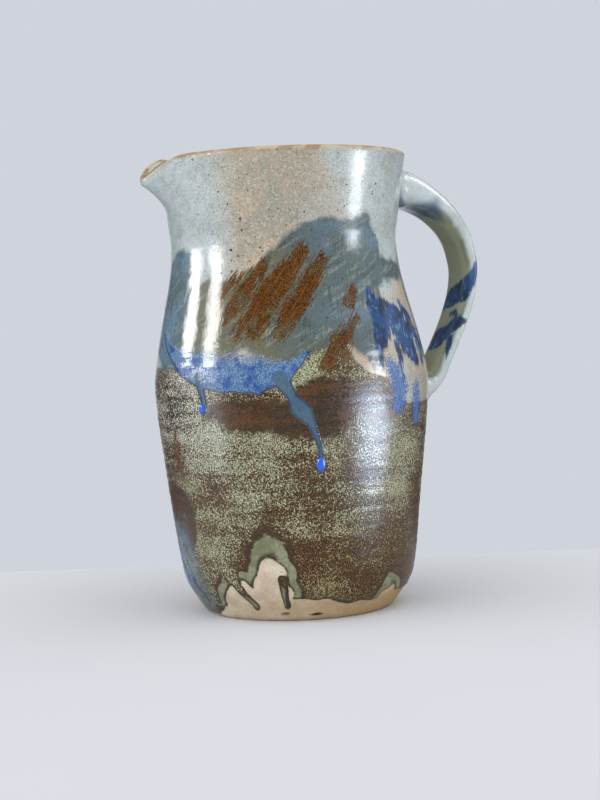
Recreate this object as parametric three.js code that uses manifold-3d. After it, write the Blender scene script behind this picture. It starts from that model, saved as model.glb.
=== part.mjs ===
// A hand-thrown stoneware jug with a pulled pouring lip and a pulled strap handle.
// Lengths are in millimetres and angles in degrees. +Z is up, the lip points to -X and the handle to +X.
// The origin is the centre of the flat foot, on the surface that the jug stands on.

import * as THREE from "three";
import { mergeVertices } from "three/addons/utils/BufferGeometryUtils.js";
import Module from "manifold-3d";

// Outside of the thrown body
const jugHeight = 230;
const footRadius = 47.8;
const footEdgeRound = 1.5;
const heelRadius = 56.8;
const heelHeight = 12.5;
const bellyRadius = 70.2;
const bellyHeight = 112.8;
const neckRadius = 57.5;
const collarHeight = 43;
const rimRadius = 62.6;
const neckLean = 1.4;

// Thickness of the thrown body
const wallThickness = 5;
const rimThickness = 4.2;
const heelThickness = 6.5;
const floorThickness = 7;
const innerFloorRadius = 34;
const innerHeelHeight = 28;

// Finger ridges left inside by throwing
const ridgePitch = 16;
const ridgeDepth = 0.6;

// Pouring lip, pulled out of the soft rim: it isn't quite opposite the handle
const lipReach = 17;
const lipDrop = 10.5;
const lipHalfWidth = 11.5;
const throatHalfWidth = 19;
const throatLength = 37;
const lipTurn = 9;

// Strap handle: places of its centre line below the rim and beside the belly, and sizes of its section
const upperRootDrop = 15.6;
const handleReachDrop = 60;
const handleStandOff = 29.4;
const lowerRootDrop = 10.3;
const strapWidth = 28;
const strapThickness = 7.8;
const upperRootWidth = 31;
const upperRootThickness = 22;
const lowerRootWidth = 30;
const lowerRootThickness = 12.5;
const upperRootInset = 5;
const lowerRootInset = 8;

// Coils of soft clay worked round the handle's roots: they spread most in the corner under the handle
const coilSpread = 5.5;
const coilLength = 6;
const coilEdge = 0.6;

// Gap between two pieces that touch, and how far a cutter runs past what it cuts
const clearance = 0.3;
const overrun = 2;

// Points of the outside between its driving radii, as shares of the steps in radius and in height
const lowerWallShares = [[0.24, 0.1], [0.44, 0.31], [0.72, 0.615], [0.9, 0.82]];
const shoulderShares = [[0.05, 0.13], [0.3, 0.36], [0.69, 0.63], [0.93, 0.84]];
const collarShares = [[0.22, 0.22], [0.5, 0.55], [0.8, 0.86]];

// Points of the handle's centre line between its roots and its furthest point, as shares in the same way
const upperArmShares = [[0.26, 0.05], [0.59, 0.23], [0.815, 0.45], [0.93, 0.645], [0.985, 0.86]];
const lowerArmShares = [[0.035, 0.16], [0.13, 0.33], [0.265, 0.5], [0.44, 0.69], [0.61, 0.85]];

// Share of the handle's length over which each root's swelling dies away, and how suddenly it does
const upperTaperShare = 0.5;
const lowerTaperShare = 0.3;
const upperTaperPower = 1.65;
const lowerTaperPower = 2;

// Share of a coil's spread that is left on the face of the handle that looks away from the hand hole
const outerFaceShare = 0.12;

// Share of the way to the corner that bends the inside from wall to floor
const innerCornerShare = 0.6;

// Counts of facets
const turnSteps = 60;
const outerSteps = 26;
const lookupSteps = 500;
const ridgeSteps = 3;
const rimSteps = 6;
const handleSteps = 30;
const strapSides = 20;
const coilSteps = 6;

// How far the facets crowd towards the lip and towards the heel
const crowdingShare = 0.6;
const heelCrowdingPower = 1.25;

// How square the lip and the strap's section are, and how late the throat turns out into the lip
const lipSquareness = 2.5;
const strapSquareness = 2.7;
const throatPower = 1.5;

const glazeRoughness = 0.25;

const neckHeight = jugHeight - collarHeight;
const upperRootHeight = jugHeight - upperRootDrop;
const lowerRootHeight = bellyHeight - lowerRootDrop;
const handleReach = bellyRadius + handleStandOff;
const handleReachHeight = jugHeight - handleReachDrop;
const lipDirection = Math.PI + THREE.MathUtils.degToRad(lipTurn);

const wasm = await Module();
wasm.setup();

function blend(low, high, share) {
  return low + (high - low) * share;
}

function smoothStep(share) {
  const held = Math.min(Math.max(share, 0), 1);
  return held * held * (3 - 2 * held);
}

// Points between two corners of an outline, at shares of the steps from the first to the second
function between(from, to, shares) {
  return shares.map(([across, along]) => {
    return new THREE.Vector2(blend(from.x, to.x, across), blend(from.y, to.y, along));
  });
}

// Outside of the wall, from the foot's edge to the rim
function makeOuterWall() {
  const foot = new THREE.Vector2(footRadius, 0);
  const heel = new THREE.Vector2(heelRadius, heelHeight);
  const belly = new THREE.Vector2(bellyRadius, bellyHeight);
  const neck = new THREE.Vector2(neckRadius, neckHeight);
  const rim = new THREE.Vector2(rimRadius, jugHeight);
  return new THREE.SplineCurve([
    foot,
    heel,
    ...between(heel, belly, lowerWallShares),
    belly,
    ...between(belly, neck, shoulderShares),
    neck,
    ...between(neck, rim, collarShares),
    rim,
  ]);
}

const outerWall = makeOuterWall();
const outerPoints = outerWall.getSpacedPoints(lookupSteps);

// Places on the outside from the foot's edge to the rim, closer together at the heel
function outerStations() {
  const stations = [];
  for (let step = 0; step <= outerSteps; step += 1) {
    stations.push(outerWall.getPointAt((step / outerSteps) ** heelCrowdingPower));
  }
  return stations;
}

// Outside radius of the wall at a height, between the foot and the rim
function outerRadiusAt(height) {
  const above = Math.max(outerPoints.findIndex((point) => point.y >= height), 1);
  const low = outerPoints[above - 1];
  const high = outerPoints[above];
  return blend(low.x, high.x, (height - low.y) / (high.y - low.y));
}

// The wall thins from the heel to the rim
function thicknessAt(height) {
  const overFloor = smoothStep((height - floorThickness) / (bellyHeight - floorThickness));
  const overNeck = smoothStep((height - neckHeight) / (jugHeight - neckHeight));
  return blend(blend(heelThickness, wallThickness, overFloor), rimThickness, overNeck);
}

// Finger ridges, which fade out at the floor and at the neck
function ridgeAt(height) {
  const overHeel = (height - innerHeelHeight) / ridgePitch;
  const underNeck = (neckHeight - height) / ridgePitch;
  return ridgeDepth * smoothStep(overHeel) * smoothStep(underNeck) * Math.cos(2 * Math.PI * overHeel);
}

function innerRadiusAt(height) {
  return outerRadiusAt(height) - thicknessAt(height) + ridgeAt(height);
}

// Inside of the jug, from the rim down to the axis
function innerProfile() {
  const points = [];
  const top = jugHeight - rimThickness / 2;
  const steps = Math.round(((top - innerHeelHeight) / ridgePitch) * ridgeSteps);
  for (let step = 0; step <= steps; step += 1) {
    const height = blend(top, innerHeelHeight, step / steps);
    points.push(new THREE.Vector2(innerRadiusAt(height), height));
  }
  const wallFoot = points[points.length - 1];
  const corner = new THREE.CubicBezierCurve(
    wallFoot,
    new THREE.Vector2(wallFoot.x, blend(innerHeelHeight, floorThickness, innerCornerShare)),
    new THREE.Vector2(blend(innerFloorRadius, wallFoot.x, innerCornerShare), floorThickness),
    new THREE.Vector2(innerFloorRadius, floorThickness),
  );
  points.push(...corner.getPoints(rimSteps).slice(1));
  points.push(new THREE.Vector2(0, floorThickness));
  return points;
}

// Closed half outline of the body: under the foot, up the outside, over the rim and down the inside
function bodyProfile() {
  const rimFoot = jugHeight - rimThickness / 2;
  const footEdge = new THREE.Vector2(footRadius + footEdgeRound / 2, footEdgeRound);
  const outside = outerStations().filter((point) => point.y > footEdge.y && point.y < rimFoot);
  const rimCentre = outerRadiusAt(rimFoot) - rimThickness / 2;
  const rim = [];
  for (let step = 0; step < rimSteps; step += 1) {
    const turn = (Math.PI * step) / rimSteps;
    rim.push(new THREE.Vector2(
      rimCentre + (rimThickness / 2) * Math.cos(turn),
      rimFoot + (rimThickness / 2) * Math.sin(turn),
    ));
  }
  return [
    new THREE.Vector2(0, 0),
    new THREE.Vector2(footRadius - footEdgeRound, 0),
    footEdge,
    ...outside,
    ...rim,
    ...innerProfile(),
  ];
}

// Merges the shared corners of a closed surface and drops facets that have no area
function weld(geometry) {
  const bare = geometry.clone();
  bare.deleteAttribute("normal");
  bare.deleteAttribute("uv");
  const merged = mergeVertices(bare);
  const corners = merged.index.array;
  const kept = [];
  for (let first = 0; first < corners.length; first += 3) {
    const [a, b, c] = [corners[first], corners[first + 1], corners[first + 2]];
    if (a !== b && b !== c && c !== a) {
      kept.push(a, b, c);
    }
  }
  merged.setIndex(kept);
  return merged;
}

function toSolid(geometry) {
  const welded = weld(geometry);
  const vertProperties = new Float32Array(welded.attributes.position.array);
  const triVerts = new Uint32Array(welded.index.array);
  return new wasm.Manifold(new wasm.Mesh({ numProp: 3, vertProperties, triVerts }));
}

function toGeometry(solid) {
  const mesh = solid.getMesh();
  const geometry = new THREE.BufferGeometry();
  geometry.setAttribute("position", new THREE.BufferAttribute(new Float32Array(mesh.vertProperties), 3));
  geometry.setIndex(new THREE.BufferAttribute(new Uint32Array(mesh.triVerts), 1));
  geometry.computeVertexNormals();
  return geometry;
}

// The neck was left leaning a little towards the lip
function leanAt(height) {
  const below = smoothStep((height - bellyHeight) / (neckHeight - bellyHeight));
  const above = smoothStep((height - neckHeight) / (jugHeight - neckHeight));
  return neckLean * below * (1 - above);
}

// Turns a half outline about the jug's axis, with its facets crowded towards the lip
function turnProfile(points) {
  const geometry = weld(new THREE.LatheGeometry(points, turnSteps).rotateX(Math.PI / 2));
  const place = geometry.attributes.position;
  for (let index = 0; index < place.count; index += 1) {
    const radius = Math.hypot(place.getX(index), place.getY(index));
    const even = Math.atan2(place.getY(index), place.getX(index));
    const turn = even - crowdingShare * Math.sin(even) + lipDirection;
    place.setXY(index, radius * Math.cos(turn) - leanAt(place.getZ(index)), radius * Math.sin(turn));
  }
  return geometry;
}

// Shares of the lip's pull round the jug and up it: all at the middle of the lip, none below its throat
function lipPull(turn, height) {
  const straightPart = throatLength - rimThickness;
  const up = Math.min(Math.max(height - jugHeight + throatLength, 0) / straightPart, 1);
  const halfWidth = blend(throatHalfWidth, lipHalfWidth, up);
  const aside = (rimRadius * Math.abs(turn)) / halfWidth;
  return { around: Math.exp(-(aside ** lipSquareness)), up: up ** throatPower };
}

// Pulls the pouring lip out of a turned body
function pullLip(geometry) {
  const place = geometry.attributes.position;
  for (let index = 0; index < place.count; index += 1) {
    const [x, y, z] = [place.getX(index), place.getY(index), place.getZ(index)];
    const angle = Math.atan2(y, x);
    const turn = Math.atan2(Math.sin(angle - lipDirection), Math.cos(angle - lipDirection));
    const pull = lipPull(turn, z);
    const radius = Math.hypot(x, y) + lipReach * pull.around * pull.up;
    const drop = lipDrop * pull.around ** 2 * pull.up;
    place.setXYZ(index, radius * Math.cos(angle), radius * Math.sin(angle), z - drop);
  }
  geometry.computeVertexNormals();
  return geometry;
}

// A solid that fills the jug to its outside, grown by a gap, to cut what is set against the wall
function filledBody(gap) {
  const grown = outerStations().map((point) => new THREE.Vector2(point.x + gap, point.y));
  return toSolid(turnProfile([new THREE.Vector2(0, 0), ...grown, new THREE.Vector2(0, jugHeight)]));
}

// Centre line of the handle, from inside the collar to inside the belly
function makeHandleLine() {
  const upperX = outerRadiusAt(upperRootHeight) - upperRootInset;
  const lowerX = outerRadiusAt(lowerRootHeight) - lowerRootInset;
  const upper = new THREE.Vector2(upperX, upperRootHeight);
  const lower = new THREE.Vector2(lowerX, lowerRootHeight);
  const far = new THREE.Vector2(handleReach, handleReachHeight);
  const places = [
    upper,
    ...between(upper, far, upperArmShares),
    far,
    ...between(far, lower, lowerArmShares),
    lower,
  ];
  const points = places.map((place) => new THREE.Vector3(place.x, 0, place.y));
  return new THREE.CatmullRomCurve3(points, false, "centripetal");
}

const handleLine = makeHandleLine();

// Size of the strap along its length: it swells towards each root
function strapSizeAt(along) {
  const upper = Math.max(1 - along / upperTaperShare, 0);
  const lower = Math.max((along - 1 + lowerTaperShare) / lowerTaperShare, 0);
  return {
    thickness: strapThickness
      + (upperRootThickness - strapThickness) * upper ** upperTaperPower
      + (lowerRootThickness - strapThickness) * lower ** lowerTaperPower,
    width: strapWidth
      + (upperRootWidth - strapWidth) * upper ** upperTaperPower
      + (lowerRootWidth - strapWidth) * lower ** lowerTaperPower,
  };
}

// One cross-section of the strap: a flattened ring of points, grown by so much in each direction.
// Turn 0 is the inner face, which looks into the hand hole.
function strapSection(along, growthAt) {
  const centre = handleLine.getPointAt(along);
  const tangent = handleLine.getTangentAt(along);
  const inward = new THREE.Vector3(tangent.z, 0, -tangent.x);
  const size = strapSizeAt(along);
  const round = (value) => Math.sign(value) * Math.abs(value) ** (2 / strapSquareness);
  const section = [];
  for (let side = 0; side < strapSides; side += 1) {
    const turn = (2 * Math.PI * side) / strapSides;
    const growth = growthAt(along, turn);
    const inner = (size.thickness / 2 + growth) * round(Math.cos(turn));
    const aside = (size.width / 2 + growth) * round(Math.sin(turn));
    section.push(new THREE.Vector3(centre.x + inward.x * inner, aside, centre.z + inward.z * inner));
  }
  return section;
}

// Skins a row of cross-sections and closes both ends
function loft(sections) {
  const sides = sections[0].length;
  const lastRow = (sections.length - 1) * sides;
  const middle = (section) => section.reduce((sum, point) => sum.add(point), new THREE.Vector3());
  const ends = [sections[0], sections[sections.length - 1]];
  const points = [...sections.flat(), ...ends.map((section) => middle(section).divideScalar(sides))];
  const corners = [];
  for (let row = 0; row + 1 < sections.length; row += 1) {
    for (let side = 0; side < sides; side += 1) {
      const next = (side + 1) % sides;
      const [a, b] = [row * sides + side, row * sides + next];
      corners.push(a, b, a + sides, b, b + sides, a + sides);
    }
  }
  for (let side = 0; side < sides; side += 1) {
    const next = (side + 1) % sides;
    corners.push(points.length - 2, next, side);
    corners.push(points.length - 1, lastRow + side, lastRow + next);
  }
  const geometry = new THREE.BufferGeometry().setFromPoints(points);
  geometry.setIndex(corners);
  return geometry;
}

function strapBetween(from, to, steps, growthAt) {
  const sections = [];
  for (let step = 0; step <= steps; step += 1) {
    sections.push(strapSection(blend(from, to, step / steps), growthAt));
  }
  return sections;
}

// The strap grown by the clearance and run on past both of its ends, to cut what is set against it
function strapCutter() {
  const sections = strapBetween(0, 1, handleSteps, () => clearance);
  const runOn = (section, along, distance) => {
    const step = handleLine.getTangentAt(along).multiplyScalar(distance);
    return section.map((point) => point.clone().add(step));
  };
  const before = runOn(sections[0], 0, -overrun);
  const after = runOn(sections[handleSteps], 1, overrun);
  return toSolid(loft([before, ...sections, after]));
}

function makeHandle() {
  const strap = toSolid(loft(strapBetween(0, 1, handleSteps, () => 0)));
  return toGeometry(strap.subtract(filledBody(clearance)));
}

// Share of the handle's length, counted from a root, at which its whole section has come out of the wall
function wallExitShare(atUpperRoot) {
  const isOutside = (point) => Math.hypot(point.x + leanAt(point.z), point.y) > outerRadiusAt(point.z);
  for (let step = 1; step < lookupSteps; step += 1) {
    const out = step / lookupSteps;
    if (strapSection(atUpperRoot ? out : 1 - out, () => 0).every(isOutside)) {
      return out;
    }
  }
  return 1;
}

// A coil round one root: it spreads on the wall and thins out along the strap
function makeCoil(atUpperRoot) {
  const reach = wallExitShare(atUpperRoot) + coilLength / handleLine.getLength();
  const growthAt = (along, turn) => {
    const out = (atUpperRoot ? along : 1 - along) / reach;
    const facing = blend(outerFaceShare, 1, (1 + Math.cos(turn)) / 2);
    return clearance + coilEdge + coilSpread * facing * (1 - smoothStep(out));
  };
  const [from, to] = atUpperRoot ? [0, reach] : [1 - reach, 1];
  const spread = toSolid(loft(strapBetween(from, to, coilSteps, growthAt)));
  return toGeometry(spread.subtract(filledBody(clearance)).subtract(strapCutter()));
}

function addPiece(group, name, geometry, colour) {
  const glaze = new THREE.MeshStandardMaterial({ color: colour, roughness: glazeRoughness });
  const mesh = new THREE.Mesh(geometry, glaze);
  mesh.name = name;
  group.add(mesh);
}

const bodyColour = 0x6f6752;
const handleColour = 0x8d9384;
const jointColour = 0x55666c;

const jug = new THREE.Group();
addPiece(jug, "thrown_body", pullLip(turnProfile(bodyProfile())), bodyColour);
addPiece(jug, "pulled_handle", makeHandle(), handleColour);
addPiece(jug, "upper_joint_coil", makeCoil(true), jointColour);
addPiece(jug, "lower_joint_coil", makeCoil(false), jointColour);

export default jug;
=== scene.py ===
"""A hand-thrown stoneware jug with dipped, poured and brushed glazes, standing on a pale table."""

import math
from functools import reduce

import bpy
import numpy as np
from mathutils import Matrix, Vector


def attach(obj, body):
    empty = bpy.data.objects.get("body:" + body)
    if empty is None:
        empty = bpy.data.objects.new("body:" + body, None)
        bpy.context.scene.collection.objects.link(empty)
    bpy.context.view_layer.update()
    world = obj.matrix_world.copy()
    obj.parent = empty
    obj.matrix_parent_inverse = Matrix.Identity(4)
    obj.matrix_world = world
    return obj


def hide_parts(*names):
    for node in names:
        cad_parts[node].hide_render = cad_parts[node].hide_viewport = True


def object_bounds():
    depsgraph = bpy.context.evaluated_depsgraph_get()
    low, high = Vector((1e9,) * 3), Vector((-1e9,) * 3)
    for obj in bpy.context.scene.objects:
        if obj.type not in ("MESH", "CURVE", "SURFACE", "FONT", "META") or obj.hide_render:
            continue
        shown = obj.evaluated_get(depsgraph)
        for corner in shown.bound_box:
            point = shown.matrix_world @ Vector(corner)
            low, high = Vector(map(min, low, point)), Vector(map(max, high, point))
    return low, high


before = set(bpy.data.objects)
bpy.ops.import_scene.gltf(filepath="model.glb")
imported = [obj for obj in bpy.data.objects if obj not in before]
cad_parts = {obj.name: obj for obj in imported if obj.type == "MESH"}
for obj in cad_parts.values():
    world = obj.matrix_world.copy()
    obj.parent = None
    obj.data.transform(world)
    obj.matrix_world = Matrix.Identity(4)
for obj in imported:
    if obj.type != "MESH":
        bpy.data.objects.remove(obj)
cad_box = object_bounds()

MM = 0.001

# Sizes of the jug in millimetres, the same as the CAD model's
JUG_HEIGHT = 230
FOOT_RADIUS, FOOT_EDGE = 47.8, 1.5
HEEL_RADIUS, HEEL_HEIGHT = 56.8, 12.5
BELLY_RADIUS, BELLY_HEIGHT = 70.2, 112.8
NECK_RADIUS, NECK_HEIGHT = 57.5, 187
RIM_RADIUS, NECK_LEAN = 62.6, 1.4
WALL, RIM_WALL, HEEL_WALL, FLOOR = 5, 4.2, 6.5, 7
INNER_FLOOR_RADIUS, INNER_HEEL_HEIGHT, INNER_CORNER_SHARE = 34, 28, 0.6
RIDGE_PITCH, RIDGE_DEPTH = 16, 0.6
LIP_REACH, LIP_DROP, LIP_TURN = 17, 10.5, 9
LIP_HALF_WIDTH, THROAT_HALF_WIDTH, THROAT_LENGTH = 11.5, 19, 37
LIP_SQUARENESS, THROAT_POWER = 2.5, 1.5
HANDLE_FAR, UPPER_ROOT, LOWER_ROOT = (99.6, 170), 214.4, 102.5
UPPER_INSET, LOWER_INSET = 5, 8
STRAP_WIDTH, STRAP_THICKNESS, STRAP_SQUARENESS = 28, 7.8, 2.7
UPPER_WIDTH, UPPER_THICKNESS, UPPER_TAPER = 31, 22, (0.5, 1.65)
LOWER_WIDTH, LOWER_THICKNESS, LOWER_TAPER = 30, 12.5, (0.3, 2)
LOWER_WALL = ((0.24, 0.1), (0.44, 0.31), (0.72, 0.615), (0.9, 0.82))
SHOULDER = ((0.05, 0.13), (0.3, 0.36), (0.69, 0.63), (0.93, 0.84))
COLLAR = ((0.22, 0.22), (0.5, 0.55), (0.8, 0.86))
UPPER_ARM = ((0.26, 0.05), (0.59, 0.23), (0.815, 0.45), (0.93, 0.645), (0.985, 0.86))
LOWER_ARM = ((0.035, 0.16), (0.13, 0.33), (0.265, 0.5), (0.44, 0.69), (0.61, 0.85))

# Coat of glaze, and counts of rows and columns
GLAZE = 0.42
TURNS, OUTER_ROWS, INNER_ROWS, RIM_ROWS = 360, 188, 44, 10
STRAP_SIDES, STRAP_ROWS, JOINT_ROWS = 80, 170, 14

# Finer forms than the CAD model's: the foot's rounding, how deep the strap's ends lie in the wall, how far a
# joint's clay reaches along the strap's outer and inner face, and a bead's rise over its half width
FOOT_ROUNDING, STRAP_SINK, TIP_SINK, TIP_COVER = 1.9, 1.4, 1.2, 2.5
UPPER_REACH, LOWER_REACH, BEAD_RISE = (3.0, 9.5), (12.0, 8.0), 0.62

# Lengths round the pieces, for maps in mm
STRAP_GIRTH, JOINT_GIRTH, BEAD_GIRTH = 66, 90, 12

# The side that the camera sees, as an angle round the jug, and the arc that one degree takes at the belly
FRONT = -110
ARC = 1.18


def smooth(low, high, value):
    share = np.clip((value - low) / (high - low), 0, 1)
    return share * share * (3 - 2 * share)


def mix(low, high, share):
    return low + (high - low) * share


def hump(value, middle, width):
    """A bell curve, 1 at its middle."""
    return np.exp(-(((value - middle) / width) ** 2))


def full_turn(count):
    return np.arange(count) / count * 2 * math.pi


def wave(degrees):
    return np.sin(np.radians(degrees))


def outward(angle):
    return np.stack([np.cos(angle), np.sin(angle), 0 * angle], -1)


def ripple(points, length, seed, count=14):
    """Smooth noise about -1 to 1 at places in mm, with waves about this long."""
    rng = np.random.default_rng(seed)
    ways = rng.normal(size=(count, 3))
    ways /= np.linalg.norm(ways, axis=1, keepdims=True)
    lengths = length * rng.uniform(0.7, 1.5, count)
    phases = rng.uniform(0, 2 * math.pi, count)
    waves = np.sin(points @ (ways * (2 * math.pi / lengths)[:, None]).T + phases)
    return waves.sum(-1) / math.sqrt(count)


def between(start, end, shares):
    return [(mix(start[0], end[0], across), mix(start[1], end[1], along)) for across, along in shares]


def spline(points, steps, centripetal):
    """Catmull-Rom curve through points, as an array of places along it."""
    p = np.array(points, float)
    if centripetal:
        p = np.vstack([2 * p[0] - p[1], p, 2 * p[-1] - p[-2]])
    else:
        p = np.vstack([p[0], p, p[-1]])
    made = []
    for i in range(1, len(p) - 2):
        a, b, c, d = p[i - 1:i + 3]
        if centripetal:
            first, middle, last = (np.linalg.norm(n - m) ** 0.5 for m, n in ((a, b), (b, c), (c, d)))
            leave = ((b - a) / first - (c - a) / (first + middle) + (c - b) / middle) * middle
            reach = ((c - b) / middle - (d - b) / (middle + last) + (d - c) / last) * middle
        else:
            leave, reach = (c - a) / 2, (d - b) / 2
        t = np.linspace(0, 1, steps, endpoint=False)[:, None]
        bend, twist = 3 * (c - b) - 2 * leave - reach, 2 * (b - c) + leave + reach
        made.append(b + leave * t + bend * t**2 + twist * t**3)
    return np.vstack(made + [p[-2:-1]])


def lengths_along(line):
    return np.concatenate([[0], np.cumsum(np.linalg.norm(np.diff(line, axis=0), axis=1))])


def outer_line():
    foot, heel, belly = (FOOT_RADIUS, 0), (HEEL_RADIUS, HEEL_HEIGHT), (BELLY_RADIUS, BELLY_HEIGHT)
    neck, rim = (NECK_RADIUS, NECK_HEIGHT), (RIM_RADIUS, JUG_HEIGHT)
    return spline(
        [foot, heel, *between(heel, belly, LOWER_WALL), belly, *between(belly, neck, SHOULDER), neck,
         *between(neck, rim, COLLAR), rim],
        60,
        False,
    )


OUTER = outer_line()


def outer_radius(height):
    return np.interp(height, OUTER[:, 1], OUTER[:, 0])


def inner_radius(height):
    over_floor = smooth(FLOOR, BELLY_HEIGHT, height)
    over_neck = smooth(NECK_HEIGHT, JUG_HEIGHT, height)
    wall = mix(mix(HEEL_WALL, WALL, over_floor), RIM_WALL, over_neck)
    over_heel = (height - INNER_HEEL_HEIGHT) / RIDGE_PITCH
    fading = smooth(0, 1, over_heel) * smooth(0, 1, (NECK_HEIGHT - height) / RIDGE_PITCH)
    return outer_radius(height) - wall + RIDGE_DEPTH * fading * np.cos(2 * math.pi * over_heel)


def lean(height):
    rise = smooth(BELLY_HEIGHT, NECK_HEIGHT, height)
    return NECK_LEAN * rise * (1 - smooth(NECK_HEIGHT, JUG_HEIGHT, height))


def shaped(radius, turn, height):
    """Places in mm for a radius, an angle and a height on the thrown form: leaned, with the lip pulled."""
    x, y = radius * np.cos(turn) - lean(height), radius * np.sin(turn)
    angle = np.arctan2(y, x)
    aside = (angle - math.pi - math.radians(LIP_TURN) + math.pi) % (2 * math.pi) - math.pi
    up = np.clip((height - JUG_HEIGHT + THROAT_LENGTH) / (THROAT_LENGTH - RIM_WALL), 0, 1)
    half = mix(THROAT_HALF_WIDTH, LIP_HALF_WIDTH, up)
    pulled = np.exp(-(RIM_RADIUS * np.abs(aside) / half) ** LIP_SQUARENESS)
    out = np.hypot(x, y) + LIP_REACH * pulled * up**THROAT_POWER
    low = height - LIP_DROP * pulled**2 * up**THROAT_POWER
    return np.stack([out * np.cos(angle), out * np.sin(angle), low], -1)


# Glaze pattern. A place is degrees from the front and mm of height, and one on a stroke has a half width too.
# An outline is the distance in mm to the edge of one glaze, positive inside it.

# degrees, height, half width, half height, blueness
LOBES = (
    (-68, 155, 20, 29, 1.0), (-30, 148, 28, 22, 0.15), (3, 150, 31, 27, 0.3), (32, 160, 20, 26, 0.75),
    (88, 150, 16, 30, 0.7), (134, 158, 30, 20, 0.1), (172, 150, 24, 22, 0.9), (-156, 160, 26, 17, 0.0),
    (-112, 152, 20, 26, 0.6),
)
LOW_LOBES = ((-82, 24, 30, 26, 0.8), (-64, 10, 12, 9, 0.5), (150, 22, 26, 20, 0.8), (162, 40, 16, 14, 0.3))
VEIL_STROKES = (
    ((-22, 158, 8), (-4, 172, 11), (18, 183, 11), (36, 187, 8)),
    ((42, 193, 7), (47, 182, 9), (46, 168, 6)),
    ((30, 168, 6), (52, 173, 5), (74, 171, 4)),
    ((26, 150, 9), (36, 138, 8), (38, 124, 4)),
    ((100, 178, 5), (122, 186, 10), (150, 182, 9), (172, 172, 5)),
    ((-178, 136, 4), (-160, 134, 7), (-140, 138, 6), (-128, 146, 4)),
    ((-96, 176, 6), (-112, 168, 10), (-124, 148, 8), (-128, 130, 4)),
    ((-172, 176, 5), (-150, 178, 8), (-136, 170, 5)),
)
RUST_STROKES = (
    ((19, 176, 3), (5, 156, 6), (-4, 141, 4)),
    ((9, 180, 4), (-4, 162, 6), (-15, 143, 5)),
    ((-1, 172, 2.5), (-12, 158, 4.5), (-22, 141, 3)),
    ((-9, 175, 3), (-20, 160, 5), (-28, 148, 2.5)),
    ((-23, 169, 2), (-31, 158, 2.5)),
    ((31, 160, 3), (28, 154, 3.2)),
    ((29, 147, 2), (20, 134, 4.5), (15, 125, 4)),
    ((-57, 93, 0.8), (-58, 82, 3), (-57, 69, 1)),
    ((-128, 176, 4), (-150, 148, 5)),
    ((-140, 178, 3.5), (-160, 152, 4)),
    ((150, 172, 4), (136, 148, 4)),
)
RUST_BELT = (
    (-18, 104, 20, 8), (8, 100, 24, 11), (36, 106, 18, 11), (-63, 47, 14, 14), (140, 104, 30, 11),
    (166, 96, 20, 14), (-158, 106, 20, 10), (-138, 98, 26, 13),
)
SWAGS = (
    (
        *((-72, 142, 1), (-60, 137, 3.5), (-46, 129, 7), (-30, 123, 10), (-15, 123, 11)),
        *((-3, 125, 7), (4, 128, 3), (8, 130, 1)),
    ),
    ((112, 141, 1), (124, 130, 5), (138, 122, 9), (154, 121, 9), (166, 117, 5), (172, 113, 2)),
)
RUNS = (
    ((-40, 122, 3.2), (-38.6, 112, 1.7), (-38.4, 107, 1.6)),
    ((-4, 120, 4), (1, 111, 2.4), (4, 104, 4.2), (7, 97, 1.9), (9.5, 87, 1.2), (10.5, 80, 1.5)),
    ((142, 118, 4), (144, 104, 2), (146, 92, 1.5), (146, 82, 1.8)),
    ((158, 118, 4), (160, 106, 1.6), (161, 94, 1.6)),
)
BEADS = ((-38.4, 105.6, 1.9, 2.4), (10.9, 77.6, 2.3, 3.4), (146, 80, 2.2, 3.2), (161, 92.6, 1.9, 2.6))
DABS = (
    ((39, 160, 2), (43, 150, 6), (44, 141, 7), (40, 132, 3)),
    ((47, 152, 4), (54, 146, 8), (60, 136, 8), (64, 126, 4)),
    ((60, 154, 2), (68, 145, 4), (72, 132, 4), (72, 124, 2)),
    ((41, 136, 2), (40, 127, 1.6), (40, 122, 0.8)),
    ((52, 134, 2), (52, 123, 1.8), (53, 117, 0.8)),
    ((-100, 178, 3), (-104, 166, 5), (-103, 156, 3)),
    ((-178, 182, 3), (178, 170, 5), (179, 160, 3)),
    ((-86, 40, 2), (-78, 30, 4), (-68, 12, 2)),
    ((-72, 34, 1.2), (-65, 22, 2.2), (-58, 9, 1)),
)
POWDER = (((46, 122, 3), (50, 113, 6), (49, 104, 4)), ((62, 112, 2.5), (63, 103, 4), (62, 95, 2.5)))
RESERVES = ((50, 142, 34, 26), (62, 120, 22, 15), (84, 122, 26, 16), (108, 112, 32, 19))
# degrees, half width in mm, height in mm of the bare clay
ARCHES = (
    (-31, 15, 17), (-13, 12, 30), (52, 10, 11), (112, 13, 24), (141, 14, 14), (-125, 12, 26),
    (-146, 11, 15),
)
DRIPS = (
    ((-36, 26, 3.2), (-30, 17, 2.6), (-25.5, 11, 2.2), (-24, 8.5, 2.7)),
    ((-8, 22, 2.6), (-6.4, 12, 2.2), (-6.6, 9, 2.4)),
    ((104, 24, 3), (106, 9, 2.6)),
    ((-118, 26, 3), (-119, 12, 2.5)),
)
SPOTS = ((-8, 4.2, 3.6, 0.9), (9, 3.4, 4.4, 0.9), (-52, 4.4, 2.6, 1.2), (-140, 4, 3, 1.1), (128, 4, 3, 1.2))

# Strokes on the strap: mm over ARC round it from the middle of its inner face, and mm along it from the top
HANDLE_DABS = (
    ((-20, 60, 1), (-14, 71, 4), (-4, 82, 7), (5, 86, 4), (9, 95, 1)),
    ((-15, 96, 1), (-7, 100, 4), (2, 109, 6), (9, 112, 2)),
    ((-1, 94, 1), (-8, 108, 2.5), (-13, 118, 1)),
    ((24, 52, 2.5), (18, 64, 3.5), (22, 78, 2.5)),
)

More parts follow.
